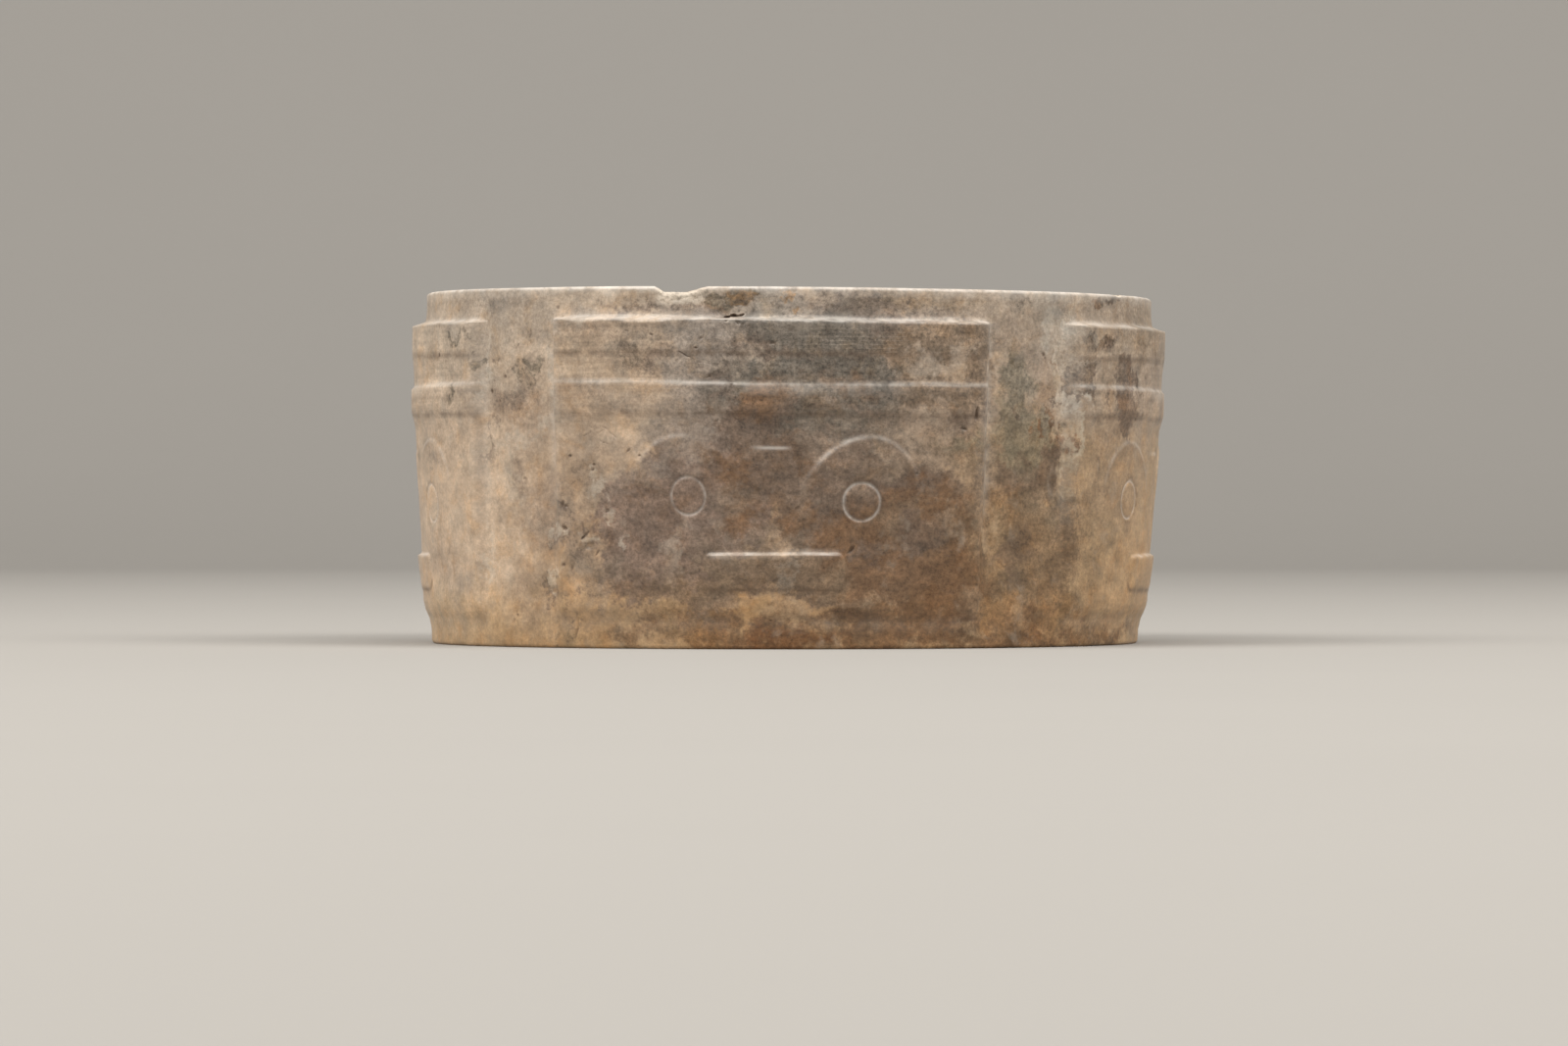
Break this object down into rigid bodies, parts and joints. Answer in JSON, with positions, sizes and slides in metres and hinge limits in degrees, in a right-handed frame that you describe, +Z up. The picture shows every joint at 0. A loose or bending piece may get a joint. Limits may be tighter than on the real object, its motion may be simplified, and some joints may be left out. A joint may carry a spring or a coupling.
{
  "type": "jade cong",
  "caption": "Round bracelet-type jade cong: a low ring with a wide bore and raised, curved panels, each carved with level bars over a beast mask.",
  "frame": {"origin": "on the ground under the middle of the ring, on its axis", "axes": "+Z up along the bore's axis, -Y out of the front panel, +X to the right as the front panel is seen"},
  "size_m": [0.09, 0.09, 0.0417],
  "materials": {
    "weathered_jade": "nephrite jade with a worn, waxy low polish, altered to beige, tan and grey-brown clouds, with stains, pits and pale worn edges"
  },
  "bodies": {
    "root": {"jade_cong": "weathered_jade"}
  },
  "joints": []
}
